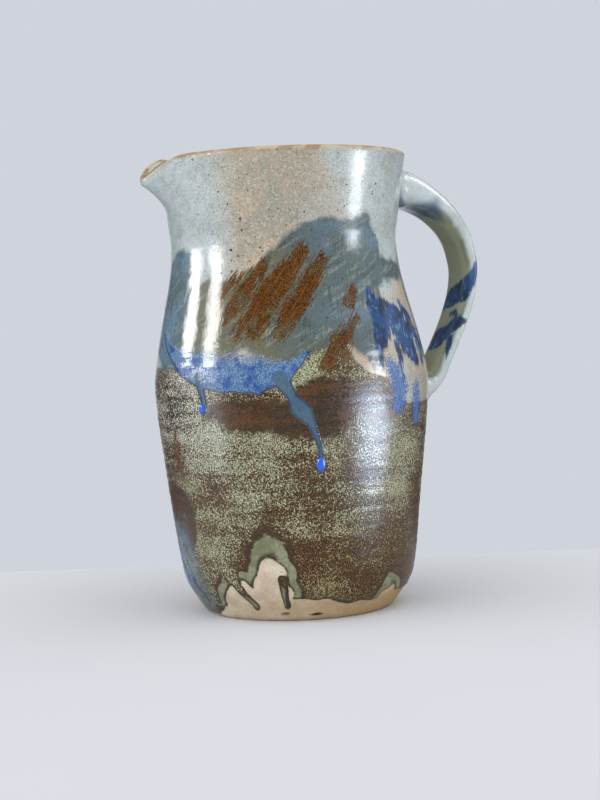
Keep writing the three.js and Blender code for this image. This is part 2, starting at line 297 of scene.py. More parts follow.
FAR = -40.0
OUTLINES = "low veil rust belt cobalt runs dabs powder edge pool window".split()
SHARES = "blue warm inside toast frost iron calm shade satin pale soft fleck".split()
NO_GLAZES = {**dict.fromkeys(OUTLINES, FAR), **dict.fromkeys(SHARES, 0.0), "cover": -FAR}


def around(x, u):
    """Arc in mm from u to x, the short way round."""
    return ((x - u + 180) % 360 - 180) * ARC


def disc(x, z, place):
    u, height, wide, high = place[:4]
    return (1 - np.hypot(around(x, u) / wide, (z - height) / high)) * min(wide, high)


def stroke(x, z, path):
    """A brush or pour mark along (degrees, height, half width) points."""
    best = np.full(np.shape(x), FAR)
    for (u, low, thick), (v, high, thin) in zip(path[:-1], path[1:]):
        across = around(x, u)
        way = np.array([around(v, u), high - low])
        share = np.clip((across * way[0] + (z - low) * way[1]) / (way @ way), 0, 1)
        gap = np.hypot(across - share * way[0], z - low - share * way[1])
        best = np.maximum(best, mix(thick, thin, share) - gap)
    return best


def union(fields, soft=3.0):
    total = fields[0]
    for field in fields[1:]:
        share = np.clip(0.5 + (total - field) / (2 * soft), 0, 1)
        total = mix(field, total, share) + soft * share * (1 - share)
    return total


def united(shape, x, z, places, soft=3.0):
    return union([shape(x, z, place) for place in places], soft)


def wall_pattern(turn, height, points):
    """Every glaze's field on the outside of the wall."""
    u = (np.degrees(turn) - FRONT + 180) % 360 - 180
    wander = ripple(points, 38, 1) * 1.5 + ripple(points, 12, 2) * 0.45
    rise = ripple(points, 33, 3) * 1.7 + ripple(points, 10, 4) * 0.45
    x, z = u + wander / ARC, height + rise
    broad_x, broad_z = x + 4.5 * ripple(points, 50, 11) / ARC, z + 4.5 * ripple(points, 50, 12)
    lobes = LOBES + LOW_LOBES
    veil = [disc(broad_x, broad_z, lobe) for lobe in LOBES] + [stroke(x, z, path) for path in VEIL_STROKES]
    veil = union(veil, 2)
    low_veil = united(disc, broad_x, broad_z, LOW_LOBES)
    weights = [np.exp(np.clip(disc(x, z, lobe), FAR, -FAR) / 7) for lobe in lobes]
    dip = 130 + 5 * wave(2 * u + 30) + 2 * wave(5 * u) - z
    bend = ripple(points, 9, 10) * 0.9
    window = union([disc(x + bend / ARC, z + bend, (at, 3, half, high)) for at, half, high in ARCHES], 2)
    cover = np.minimum(z - 9.5 - 1.2 * wave(3 * u + 80) + rise * 0.6, -window)
    drips = np.maximum.reduce([stroke(u + 0.5 * wander, height, path) for path in DRIPS])
    cover = union([cover, drips], 1.5)
    cover = np.maximum.reduce([cover, low_veil, *(disc(u, height, spot) for spot in SPOTS)])
    runs = np.maximum.reduce([stroke(u + wander * 0.5, height, path) for path in RUNS])
    crest = [np.interp(x, ats, levels, 999, 999) for ats, levels, _ in (zip(*path) for path in SWAGS)]
    root = np.hypot(around(u, -FRONT) * 0.8, height - UPPER_ROOT + 13)
    return {
        **NO_GLAZES,
        "low": np.minimum(dip, -united(disc, x, z, RESERVES)),
        "cover": cover,
        "veil": np.maximum(np.minimum(veil, z - 116), 0.45 * low_veil),
        "blue": sum(weight * lobe[4] for weight, lobe in zip(weights, lobes)) / sum(weights),
        "rust": united(stroke, u + 0.4 * wander, height + 0.4 * rise, RUST_STROKES, 1.0),
        "belt": united(disc, broad_x, broad_z, RUST_BELT),
        "cobalt": union([united(stroke, x, z, SWAGS), runs], 1.5),
        "runs": runs,
        "dabs": united(stroke, u + 0.5 * wander, height, DABS, 1.0),
        "powder": united(stroke, x, z, POWDER),
        "warm": 0.8 * hump(u, -8, 38) + 0.4 * hump(u, 165, 60) + 0.22 * ripple(points, 40, 5)
        - 0.9 * smooth(-42, -75, u) * smooth(-130, -95, u)
        + 0.55 * smooth(186, 170, z) * smooth(15, 40, u) * smooth(125, 95, u),
        "shade": 0.55 * hump(u, 4, 15) * smooth(183, 200, z),
        "pool": 18 - root,
        "window": np.where(low_veil > -4, FAR, window - 9 * smooth(-2.2, -0.4, drips)),
        "satin": smooth(166, 188, z),
        # Near-white flecks at the left of the belly, partly a painted sparkle of mirrored window light, and a
        # weaker patch of them on the back
        "fleck": hump(u, -60, 24) * hump(z, 104, 30) + 0.6 * hump(u, 130, 30) * hump(z, 90, 26),
        "toast": smooth(17, 8, height + 2 * rise) * (0.55 + 0.45 * wave(u - 20)),
        "calm": 0.8 * smooth(35, 85, u) * smooth(165, 140, u)
        + 0.6 * smooth(-30, -60, u) * smooth(-130, -100, u),
        "iron": 0.05 * wave(2 * u + 60)
        - 0.15 * smooth(85, 25, z) * smooth(-40, 10, u) * smooth(120, 90, u),
        "frost": smooth(-1, 6, z - np.minimum.reduce(crest)) * smooth(2, -1, runs),
    }


def handle_pattern(turn, along, points):
    """Every glaze's field on the strap, at angles round it from its inner face and mm along it."""
    side = (turn + math.pi) % (2 * math.pi) - math.pi
    x = side / math.pi * STRAP_GIRTH / 2 / ARC
    wander = ripple(points, 16, 8) * 1.2
    face = np.abs(x * ARC)
    olive = np.minimum.reduce([12.5 - face, along - 24, 141 - along]) + wander
    return {
        **NO_GLAZES,
        "soft": 1.0,
        "pale": 0.45,
        "veil": 0.6 * olive,
        "blue": 0.2,
        "dabs": united(stroke, x + wander, along + wander, HANDLE_DABS, 1.0),
        "warm": -0.35 + ripple(points, 30, 9) * 0.2,
        "calm": 1.0,
        "pool": 12 - np.abs(along - 25) - 1.2 * np.abs(face - 7) + wander,
    }


def coat(fields, height, points):
    """How far the glazed surface stands off the clay, in mm."""
    cover = fields["cover"]
    thick = GLAZE * 0.72 * smooth(-0.5, 1.2, cover)
    roll = 0.3 * hump(cover, 1.6, 1.4) * smooth(48, 30, height)
    veil = 0.05 * smooth(-1, 2, fields["veil"])
    run = 0.34 * np.sqrt(np.clip(fields["runs"], 0, 1.8) / 1.8)
    pour = 0.12 * smooth(-1, 1.5, fields["cobalt"]) + run
    return thick + roll + veil + pour + 0.04 * ripple(points, 14, 6) * smooth(-1, 1, cover)


def add_object(name, data):
    thing = bpy.data.objects.new(name, data)
    bpy.context.scene.collection.objects.link(thing)
    return thing


def fill(items, name, values, kind=np.float32):
    items.foreach_set(name, values.astype(kind).ravel())


def grid_mesh(name, places, fields, girth, along, ends=()):
    """A closed mesh from rows of rings of places in mm, with a tip at each end or its last row joined to its
    first. It carries the fields, a flat map for baking and a map in mm for streaks."""
    rows, columns = places.shape[:2]
    points = places.reshape(-1, 3)
    corner = np.arange(rows * columns).reshape(rows, columns)
    below, above = (corner[:-1], corner[1:]) if ends else (corner, np.roll(corner, -1, 0))
    quads = np.stack([below, np.roll(below, -1, 1), np.roll(above, -1, 1), above], -1).reshape(-1, 4)
    left, low = np.meshgrid(np.arange(columns) / columns, along[:len(below)])
    right, high = left + 1 / columns, low + np.diff(along, append=along[-1] + 1)[:len(below), None]
    chart = np.stack([left, low, right, low, right, high, left, high], -1).reshape(-1, 2)
    loops, sizes, charts = [quads.ravel()], [np.full(len(quads), 4)], [chart]
    tip_rows = (0, -1)[:len(ends)]
    for number, row in enumerate(tip_rows):
        order = 1 if row else -1
        first, second = (corner[row], np.roll(corner[row], -1))[::order]
        begin, finish = (left[0], right[0])[::order]
        tip, level = np.full(columns, len(points) + number), np.full(columns, along[row])
        loops.append(np.stack([first, second, tip], -1).ravel())
        sizes.append(np.full(columns, 3))
        charts.append(np.stack([begin, level, finish, level, (begin + finish) / 2, level], -1).reshape(-1, 2))
    vertices = np.vstack([points, *ends])
    loop, size, chart = np.concatenate(loops), np.concatenate(sizes), np.concatenate(charts)
    starts = np.concatenate([[0], np.cumsum(size)[:-1]])
    triangles = vertices[quads[:, [0, 1, 2]]], vertices[quads[:, [0, 2, 3]]]
    if sum(np.einsum("ij,ij->i", np.cross(t[:, 0], t[:, 1]), t[:, 2]).sum() for t in triangles) < 0:
        order = np.concatenate([np.arange(at + count - 1, at - 1, -1) for at, count in zip(starts, size)])
        loop, chart = loop[order], chart[order]
    mesh = bpy.data.meshes.new(name)
    mesh.vertices.add(len(vertices))
    mesh.loops.add(len(loop))
    mesh.polygons.add(len(size))
    fill(mesh.vertices, "co", vertices * MM)
    fill(mesh.loops, "vertex_index", loop, np.int32)
    fill(mesh.polygons, "loop_start", starts, np.int32)
    fill(mesh.polygons, "loop_total", size, np.int32)
    fill(mesh.polygons, "use_smooth", np.ones(len(size)), bool)
    mesh.update(calc_edges=True)
    fill(mesh.uv_layers.new(name="OFBake").data, "uv", chart / [1, along[-1] + (0 if ends else 1)])
    fill(mesh.uv_layers.new(name="flow").data, "uv", chart * [girth, 1])
    for field, values in fields.items():
        values = np.broadcast_to(np.asarray(values, float), (rows, columns))
        flat = np.concatenate([values.ravel(), [values[row].mean() for row in tip_rows]])
        fill(mesh.attributes.new(field, "FLOAT", "POINT").data, "value", flat)
    return add_object(name, mesh)


def join(piece, slot, *nodes):
    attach(piece, "root")
    if nodes:
        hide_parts(*nodes)
    return piece


def body_rows():
    """Radius and height of each row, from under the foot up the outside, over the rim and down the inside,
    and the rows at which the outside, the rim and the inside begin."""
    flat = FOOT_RADIUS - FOOT_EDGE
    under = [(mix(4, flat, s), 0) for s in np.linspace(0, 1, 9)]
    under += [(flat + FOOT_ROUNDING * math.sin(t), FOOT_EDGE * (1 - math.cos(t))) for t in (0.5, 1.0)]
    along = lengths_along(OUTER)
    top = JUG_HEIGHT - RIM_WALL / 2
    steps = np.linspace(*np.interp([FOOT_EDGE, top], OUTER[:, 1], along), OUTER_ROWS)
    outside = np.stack([np.interp(steps, along, OUTER[:, axis]) for axis in (0, 1)], -1)
    turns = np.linspace(0, math.pi, RIM_ROWS + 1)[1:-1]
    half = RIM_WALL / 2
    rim = np.stack([outer_radius(top) - half * (1 - np.cos(turns)), top + half * np.sin(turns)], -1)
    heights = np.linspace(top, INNER_HEEL_HEIGHT, INNER_ROWS)
    wall = np.stack([inner_radius(heights), heights], -1)
    knee = [
        wall[-1],
        (wall[-1][0], mix(INNER_HEEL_HEIGHT, FLOOR, INNER_CORNER_SHARE)),
        (mix(INNER_FLOOR_RADIUS, wall[-1][0], INNER_CORNER_SHARE), FLOOR),
        (INNER_FLOOR_RADIUS, FLOOR),
    ]
    t = np.linspace(0, 1, 11)[1:]
    bend = np.stack([(1 - t) ** 3, 3 * t * (1 - t) ** 2, 3 * t * t * (1 - t), t**3], -1) @ np.array(knee)
    floor = [(mix(INNER_FLOOR_RADIUS, 2.5, s), FLOOR) for s in np.linspace(0, 1, 10)[1:]]
    parts = under, outside, rim, wall, bend, floor
    return np.vstack(parts), np.cumsum([len(part) for part in parts])[:3]


def wall_place(turn, height):
    """Finished surface and fields of the outside wall, at angles and heights."""
    bare = shaped(outer_radius(height), turn, height)
    fields = wall_pattern(turn, height, bare)
    rings = 0.045 * np.sin(2 * math.pi * height / 4.3 + 0.8 * np.sin(turn))
    spiral = 0.035 * np.sin(2 * math.pi * height / 7.1 + turn)
    lines = (rings + spiral) * mix(0.35, 1, smooth(135, 110, height))
    lines = lines * smooth(NECK_HEIGHT + 8, NECK_HEIGHT - 12, height)
    fade = smooth(JUG_HEIGHT - 1, JUG_HEIGHT - 9, height) * smooth(1.5, 6, height)
    off = (coat(fields, height, bare) - GLAZE + lines + 0.15 * ripple(bare, 70, 7)) * fade
    heel = 0.9 * np.cos(turn) * smooth(60, 8, height) * smooth(1.5, 10, height)
    return shaped(outer_radius(height) + np.minimum(off, 0.3) + np.minimum(heel, 0.3), turn, height), fields


def make_body():
    rows, (outside, rim, inside) = body_rows()
    turn = full_turn(TURNS) + 0 * rows[:, :1]
    radius, height = rows[:, :1] + 0 * turn, rows[:, 1:] + 0 * turn
    places = shaped(radius, turn, height)
    fields = wall_pattern(turn, height, places)
    places[outside:rim] = wall_place(turn[outside:rim], height[outside:rim])[0]
    fields["inside"] = np.zeros(radius.shape)
    fields["inside"][inside:] = 1
    fields["inside"][rim:inside] = np.linspace(0, 1, inside - rim)[:, None]
    fields["edge"] = -np.hypot(radius - outer_radius(JUG_HEIGHT) + RIM_WALL / 2, height - JUG_HEIGHT)
    fields["cover"][:outside] = FAR
    fields["cover"][rim:] = -FAR
    fields["pool"][rim:] = FAR
    places[..., 0] = np.maximum(places[..., 0], cad_box[0][0] / MM)
    tips = (0, 0, 0.2), (0, 0, FLOOR)
    piece = grid_mesh("glazed_body", places, fields, 2 * math.pi * BELLY_RADIUS, lengths_along(rows), tips)
    return join(piece, "glazed_body", "thrown_body")


def handle_line():
    upper = (outer_radius(UPPER_ROOT) - UPPER_INSET, UPPER_ROOT)
    lower = (outer_radius(LOWER_ROOT) - LOWER_INSET, LOWER_ROOT)
    upper_arm, lower_arm = between(upper, HANDLE_FAR, UPPER_ARM), between(HANDLE_FAR, lower, LOWER_ARM)
    return spline([upper, *upper_arm, HANDLE_FAR, *lower_arm, lower], 60, True)


HANDLE = handle_line()
HANDLE_LENGTHS = lengths_along(HANDLE)
HANDLE_WAYS = np.gradient(HANDLE, HANDLE_LENGTHS, axis=0)


def at_length(line, along):
    """The x and z of the handle's line, or of its directions, so many mm along it."""
    return [np.interp(along, HANDLE_LENGTHS, line[:, axis]) for axis in (0, 1)]


def strap_place(along, turn):
    """Places on the strap: mm along it, and angles round it from the face that looks into the hand hole."""
    centre, way = at_length(HANDLE, along), at_length(HANDLE_WAYS, along)
    share = along / HANDLE_LENGTHS[-1]
    upper = np.clip(1 - share / UPPER_TAPER[0], 0, 1) ** UPPER_TAPER[1]
    lower = np.clip((share - 1) / LOWER_TAPER[0] + 1, 0, 1) ** LOWER_TAPER[1]
    thick, wide = (
        middle + (at_upper - middle) * upper + (at_lower - middle) * lower
        for middle, at_upper, at_lower in (
            (STRAP_THICKNESS, UPPER_THICKNESS, LOWER_THICKNESS),
            (STRAP_WIDTH, UPPER_WIDTH, LOWER_WIDTH),
        )
    )
    cos, sin = np.cos(turn), np.sin(turn)
    inner = thick / 2 * np.sign(cos) * np.abs(cos) ** (2 / STRAP_SQUARENESS)
    aside = wide / 2 * np.sign(sin) * np.abs(sin) ** (2 / STRAP_SQUARENESS)
    grooved = smooth(0.02, 0.2, share) * smooth(0.98, 0.8, share)
    groove = 0.55 * hump(aside, 0, 5.5) + 0.25 * hump(np.abs(aside), 9.5, 1.6)
    inner = inner + grooved * groove * np.where(cos < 0, 1.0, -0.45) * np.abs(cos) ** 0.5
    return np.stack([centre[0] + way[1] * inner, aside, centre[1] - way[0] * inner], -1)


def depth_in_wall(points):
    x, y, height = np.moveaxis(points, -1, 0)
    return outer_radius(height) - np.hypot(x + lean(height), y)


def wall_hits(turn, upper, depth):
    """Mm along the strap at which each line along it passes this depth in the wall, near one root."""
    length = HANDLE_LENGTHS[-1]
    reach = np.linspace(0, 0.35, 500) * length
    along = reach if upper else length - reach
    deep = depth_in_wall(strap_place(along[:, None], turn[None, :]))
    last = (deep > depth).shape[0] - 1 - np.argmax((deep > depth)[::-1], axis=0)
    first = np.minimum(last + 1, len(reach) - 1)
    columns = np.arange(len(turn))
    share = (deep[last, columns] - depth) / np.maximum(deep[last, columns] - deep[first, columns], 1e-9)
    return mix(along[last], along[first], np.clip(share, 0, 1))


def buried_tip(ring):
    """The middle of the strap's end, pushed into the wall where it would lie too near the surface."""
    middle = ring.mean(0)
    return middle - [TIP_SINK, 0, 0] if depth_in_wall(middle) < TIP_COVER else middle


def make_strap():
    turn = full_turn(STRAP_SIDES)
    begin, finish = (wall_hits(turn, upper, STRAP_SINK) for upper in (True, False))
    along = mix(begin, finish, np.linspace(0, 1, STRAP_ROWS)[:, None])
    turns = turn + 0 * along
    places = strap_place(along, turns)
    fields = handle_pattern(turns, along, places)
    ends = [buried_tip(places[row]) for row in (0, -1)]
    piece = grid_mesh("glazed_strap", places, fields, STRAP_GIRTH, along.mean(1), ends)
    return join(piece, "glazed_handle", "pulled_handle")


def make_joint(upper):
    """Clay and glaze worked round one root of the strap, from which it meets the wall in a smooth hollow."""
    turn = full_turn(STRAP_SIDES)
    facing = (1 + np.cos(turn)) / 2
    hit = wall_hits(turn, upper, 0)
    if upper:
        name, node, start = "upper_joint", "upper_joint_coil", hit + mix(*UPPER_REACH, facing)
        along_wall = mix(1.8, 7.5, facing)
    else:
        name, node, start = "lower_joint", "lower_joint_coil", hit - mix(*LOWER_REACH, facing)
        along_wall = 7.0 + 5.0 * np.cos(turn) ** 2 * (1 - facing)
    corner, top = strap_place(hit, turn), strap_place(start, turn)
    core_x, core_z = at_length(HANDLE, hit)
    core = np.stack([core_x, 0 * hit, core_z], -1)
    sideways, upwards = np.sin(turn), -at_length(HANDLE_WAYS, hit)[0] * np.cos(turn)
    scale = along_wall / np.hypot(sideways, upwards)
    angle = np.arctan2(corner[:, 1] + sideways * scale, corner[:, 0])
    height = corner[:, 2] + upwards * scale
    foot, _ = wall_place(angle, height)
    beyond, _ = wall_place(angle + sideways * 0.8 / 60, height + upwards * 0.8)
    share = np.linspace(0, 1, JOINT_ROWS)[:, None, None]
    hollow = (1 - share) ** 2 * top + 2 * share * (1 - share) * corner + share**2 * foot
    inward = (core - corner) / np.linalg.norm(core - corner, axis=1, keepdims=True)

    # The first row and the last two close the ring, so many mm inside the strap and the wall
    places = np.stack([
        top + inward * 1.2,
        *hollow,
        beyond - outward(angle) * 0.7,
        corner + inward * 1.6 - outward(angle) * 1.2,
    ])

    # The strap's glazes pass into the wall's, which are read at each place of the joint
    strap_fields = handle_pattern(turn, start, top)
    wall_fields = wall_pattern(np.arctan2(places[..., 1], places[..., 0]), places[..., 2], places)
    blend = smooth(0, 1, np.concatenate([[0], np.linspace(0, 1, JOINT_ROWS), [1, 1]]))[:, None]
    fields = {
        field: mix(*(np.clip(side[field], -12, 12) for side in (strap_fields, wall_fields)), blend)
        for field in NO_GLAZES
    }
    fields["pool"] = fields["pool"] + 7 * facing * np.sin(math.pi * blend)
    fields["cover"] = -FAR
    along = lengths_along(places.mean(1) + places[:, 0] - places[:, 0].mean(0))
    return join(grid_mesh(name, places, fields, JOINT_GIRTH, along), "glazed_joint", node)


def make_bead(number, u, height, wide, high):
    """A drop of glass that a run ended in."""
    turn, rise = math.radians(u + FRONT), wide * BEAD_RISE
    lift, spin = np.linspace(math.pi / 2, -math.pi / 2, 15)[1:-1, None], full_turn(28)
    angle = turn + wide * np.cos(lift) * np.cos(spin) / outer_radius(height)
    surface, _ = wall_place(angle, height + high * np.cos(lift) * np.sin(spin))
    places = surface + outward(angle) * (rise * np.sin(lift))[..., None]
    centre = wall_place(np.array([turn]), np.array([height]))[0][0]
    tips = [centre + outward(turn) * rise, centre - outward(turn) * rise]
    fields = {**NO_GLAZES, "cobalt": -FAR, "runs": -FAR}
    along = np.linspace(0, BEAD_GIRTH / 2, len(places))
    return join(grid_mesh(f"glass_bead_{number}", places, fields, BEAD_GIRTH, along, tips), "glazed_body")


def paint(*tone):
    """A tone in the linear values that a shader takes, by the sRGB curve."""
    return tuple(c / 255 / 12.92 if c <= 10 else ((c / 255 + 0.055) / 1.055) ** 2.4 for c in tone)


class Nodes:
    """Short names for the shader nodes of one tree. A tone is a colour from 0 to 255."""

    def __init__(self, owner):
        owner.use_nodes = True
        self.owner = owner
        self.tree = owner.node_tree

    def node(self, kind, *values, **settings):
        """A new node with its settings made and its first sockets filled."""
        node = self.tree.nodes.new("ShaderNode" + kind)
        for name, setting in settings.items():
            setattr(node, name, setting)
        for socket, value in zip(node.inputs, values):
            self.put(socket, value)
        return node

    def put(self, socket, value):
        if isinstance(value, bpy.types.NodeSocket):
            self.tree.links.new(value, socket)
        elif socket.type == "RGBA":
            socket.default_value = (*paint(*value), 1)
        else:
            socket.default_value = value

    def filled(self, node, **values):
        """Fills a node's sockets by their names, with _ for each space, and gives its first output."""
        for name, value in values.items():
            self.put(node.inputs[name.replace("_", " ")], value)
        return node.outputs[0]

    def maths(self, operation, *values):
        return self.node("Math", *values, operation=operation).outputs[0]

    def add(self, *values):
        return reduce(lambda total, value: self.maths("ADD", total, value), values)

    def times(self, *values):
        return reduce(lambda total, value: self.maths("MULTIPLY", total, value), values)

    def weighed(self, *parts):
        """The sum of (weight, value) parts."""
        return self.add(*(self.times(weight, value) for weight, value in parts))

    def swing(self, amount, texture):
        """A texture as a change either way, by up to half of this amount."""
        return self.times(amount, self.add(texture, -0.5))

    def grade(self, value, low, high, to_low, to_high, smooth_ends=True):
        """A value from low to high as one from to_low to to_high."""
        kind = "SMOOTHSTEP" if smooth_ends else "LINEAR"
        node = self.node("MapRange", value, low, high, to_low, to_high, interpolation_type=kind)
        return node.outputs[0]

    def step(self, start, end, value):
        """Smooth step from 0 at the start to 1 at the end, whichever of them is the higher."""
        if start > end:
            return self.grade(value, end, start, 1.0, 0.0)
        return self.grade(value, start, end, 0.0, 1.0)

    def mixed(self, first, second, share):
        node = self.node("Mix", share)
        self.put(node.inputs[2], first)
        self.put(node.inputs[3], second)
        return node.outputs[0]

    def blend(self, first, second, *shares):
        """One colour turned into another by all its shares together. In brackets, a share is a step."""
        shares = [self.step(*share) if isinstance(share, tuple) else share for share in shares]
        node = self.node("Mix", self.times(*shares), data_type="RGBA")
        self.put(node.inputs[6], first)
        self.put(node.inputs[7], second)
        return node.outputs[2]

    def layers(self, base, *coats):
        """A base colour with coats over it, each a colour and the shares that it is laid on with."""
        for colour, *shares in coats:
            base = self.blend(base, colour, *shares)
        return base


class Surface(Nodes):
    """The shader nodes of one material, with textures measured in mm on the jug."""

    def __init__(self, name):
        super().__init__(bpy.data.materials.new(name))
        self.shader = self.tree.nodes["Principled BSDF"]
        where = self.node("TexCoord").outputs["Object"]
        self.place = self.filled(self.node("VectorMath", where, operation="SCALE"), Scale=1 / MM)

    def field(self, name):
        return self.node("Attribute", attribute_name=name).outputs["Fac"]

    def moved(self, vector, kind="POINT", **values):
        return self.filled(self.node("Mapping", vector, vector_type=kind), **values)

    def noise_at(self, where, detail, rough):
        return self.filled(self.node("TexNoise", where), Scale=1, Detail=detail, Roughness=rough)

    def noise(self, size, detail=2.0, rough=0.5, shift=0.0):
        """Noise from 0 to 1 with grains about this many mm across, or so many mm each way."""
        sizes = size if isinstance(size, tuple) else (size, size, size)
        where = self.moved(self.place, Location=(shift, shift * 1.7, -shift), Scale=[1 / s for s in sizes])
        return self.noise_at(where, detail, rough)

    def streaks(self, slope, width, length, shift):
        """Noise drawn out over the surface like the marks of a brush, at so many degrees from level."""
        flow = self.node("UVMap", uv_map="flow").outputs[0]
        turn, sizes = (0, 0, math.radians(slope)), (length, width, 1)
        where = self.moved(flow, "TEXTURE", Location=(shift, shift, 0), Rotation=turn, Scale=sizes)
        return self.noise_at(where, 3, 0.6)

    def specks(self, spacing, size, share, shift):
        """Separate specks: this many mm apart, up to this many mm across, in this share of the cells."""
        where = self.moved(self.place, Location=(shift, -shift, shift * 2), Scale=(1 / spacing,) * 3)
        cells = self.node("TexVoronoi", where)
        self.filled(cells, Scale=1)
        chance, girth, _ = self.node("SeparateColor", cells.outputs["Color"]).outputs
        radius = self.times(self.grade(girth, 0, 1, 0.35, 1, False), size / spacing / 2)
        depth = self.maths("SUBTRACT", radius, cells.outputs["Distance"])
        inside = self.step(-0.06 * size / spacing, 0.12 * size / spacing, depth)
        return self.times(inside, self.step(share, share - 0.02, chance))

    def within(self, name, raggedness, width, texture):
        """From 0 outside a glaze to 1 inside it, over an edge in mm that a texture makes ragged."""
        return self.step(-width, width, self.add(self.field(name), self.swing(raggedness, texture)))

    def bump(self, height):
        return self.filled(self.node("Bump"), Distance=MM, Height=height)


class Glazes(Surface):
    """The glazes' nodes, with the textures that they share: grains, then brush marks, then the mottle."""

    def __init__(self):
        super().__init__("stoneware_glazes")
        self.fine = self.noise(0.45, 1, 0.6, 5)
        self.grain = self.noise(0.8, 1.5, 0.6)
        self.medium = self.noise(3.0, 2.5, 0.55, 11)
        self.coarse = self.noise(8, 2.5, 0.55, 19)
        self.cloud = self.noise(26, 2.5, 0.55, 23)
        self.broad = self.noise(60, 1, 0.5, 31)
        self.level = self.noise((38, 38, 4.5), 2.5, 0.6, 37)
        self.slanting = self.streaks(52, 1.0, 12, 3)
        self.falling = self.streaks(84, 1.2, 13, 47)
        self.sweeping = self.streaks(24, 2.6, 22, 71)
        clouds = self.swing(0.5, self.cloud), self.swing(0.35, self.level), self.swing(0.25, self.broad)
        self.patches = self.add(*clouds, self.field("iron"))
        self.mottle = self.step(0.475, 0.525, self.add(self.grain, self.patches))


def clay_colour(n):
    return n.layers(
        (198, 180, 156),
        ((218, 204, 182), (0.35, 0.65, n.coarse)),
        ((170, 138, 78), n.field("toast")),
        ((126, 104, 80), 0.35, (0.52, 0.66, n.fine)),
        ((84, 62, 42), 0.6, n.specks(2.6, 0.8, 0.25, 3)),
    )


def collar_colour(n):
    """A pale glaze over speckled clay."""
    speckled = n.mixed(1.0, 0.3, n.field("calm"))
    shade = n.times(0.7, n.step(0.42, 0.7, n.mixed(n.broad, n.coarse, 0.5)))
    return n.layers(
        (192, 205, 206),
        ((196, 178, 154), (0.2, 0.9, n.add(n.field("warm"), n.swing(0.7, n.cloud)))),
        ((150, 152, 138), n.add(n.field("shade"), shade)),
        ((118, 102, 80), speckled, 0.3, (0.5, 0.64, n.grain)),
        ((92, 78, 60), speckled, 0.45, (0.52, 0.62, n.fine)),
        ((150, 154, 142), 0.3, (0.46, 0.66, n.medium)),
        ((220, 218, 206), speckled, 0.3, (0.53, 0.68, n.noise(1.4, 1, 0.5, 51))),
        ((210, 216, 216), n.field("pale"), (0.3, 0.62, n.cloud)),
        ((74, 54, 38), speckled, 0.85, n.specks(1.7, 0.75, 0.6, 17)),
        ((52, 38, 28), speckled, 0.85, n.specks(3.1, 1.05, 0.5, 57)),
        ((34, 24, 18), speckled, 0.95, n.specks(4.0, 1.35, 0.42, 7)),
    )


def belly_colour(n):
    """Celadon mottled over iron brown. Round bare clay the glaze lies smooth and green, in a dark line."""
    # Painted sparkle: where this field is high, near-white flecks and darker brown grains stand partly for
    # mirrored window light in the mottle
    fleck = n.field("fleck")
    ochre = n.blend((108, 92, 48), (154, 140, 92), (0.42, 0.6, n.fine))
    celadon = n.layers(
        (94, 96, 66),
        ((202, 202, 170), (0.44, 0.6, n.fine)),
        ((236, 238, 230), fleck, (0.46, 0.56, n.fine)),
        (ochre, 0.85, (0.0, -0.15, n.field("iron"))),
    )
    green = n.layers(
        (116, 118, 88),
        ((140, 142, 114), (0.4, 0.6, n.coarse)),
        ((84, 84, 54), 0.5, (0.55, 0.66, n.grain)),
    )
    halo = n.add(n.field("window"), n.swing(3.0, n.medium))
    return n.layers(
        (102, 66, 8),
        ((18, 11, 2), (0.43, 0.55, n.add(n.fine, n.times(0.08, fleck)))),
        (celadon, n.mottle),
        ((168, 140, 70), 0.8, n.specks(1.6, 0.85, 0.5, 29), (0.14, -0.1, n.patches)),
        ((16, 10, 3), 0.95, n.specks(1.45, 0.8, 0.56, 41)),
        ((10, 6, 3), 0.95, n.specks(1.2, 0.7, 0.5, 67)),
        ((56, 38, 18), 0.85, (-7.6, -6.2, halo), (0.3, 0.5, n.grain)),
        (green, (-5.2, -4.4, halo)),
    )


def veil_colour(n):
    """Slate and olive, brown where it is brushed out thin."""
    blueness = n.add(n.field("blue"), n.swing(1.3, n.cloud))
    blue = n.step(0.1, 0.6, blueness)
    return n.layers(
        (100, 100, 72),
        ((78, 98, 103), blue),
        ((98, 127, 146), (0.6, 1.0, blueness)),
        ((156, 166, 158), 0.6, (0.5, 0.62, n.mixed(n.sweeping, n.coarse, 0.5))),
        ((46, 58, 62), 0.75, (0.48, 0.64, n.mixed(n.falling, n.coarse, 0.6))),
        ((112, 90, 50), 0.3, (0.5, 0.62, n.slanting), (0.7, 0.2, blue)),
        ((46, 42, 34), 0.5, (0.55, 0.68, n.grain)),
        ((168, 170, 138), 0.85, n.field("soft")),
        ((44, 60, 70), 0.6, (3.4, 0.2, n.field("veil")), (0.3, 0.6, n.coarse)),
    )


def rust_colour(n):
    return n.layers(
        (108, 60, 3),
        ((54, 32, 2), (0.42, 0.58, n.grain)),
        ((130, 80, 24), 0.6, (0.52, 0.66, n.slanting)),
        ((52, 38, 12), 0.6, (0.5, 0.66, n.coarse)),
        ((128, 126, 92), 0.5, (0.55, 0.62, n.mixed(n.fine, n.coarse, 0.5))),
    )


def belt_colour(n):
    return n.layers(
        (98, 56, 3),
        ((22, 12, 1), (0.43, 0.55, n.mixed(n.grain, n.level, 0.35))),
        ((116, 108, 72), 0.6, (0.58, 0.66, n.mixed(n.grain, n.coarse, 0.3))),
        ((14, 8, 2), 0.8, n.specks(1.5, 0.8, 0.5, 83)),
    )


def cobalt_colour(n):
    """Powdery where it is thin, deep and glassy where it ran."""
    return n.layers(
        (64, 106, 156),
        ((122, 154, 190), (0.42, 0.58, n.grain)),
        ((30, 78, 158), 0.85, (0.5, 0.62, n.coarse)),
        ((58, 80, 92), 0.6, (0.5, 0.6, n.fine)),
        (n.blend((66, 88, 90), (70, 104, 130), n.medium), 0.85, (0.0, 1.4, n.field("runs"))),
        ((40, 92, 206), (10, 20, n.field("runs"))),
    )


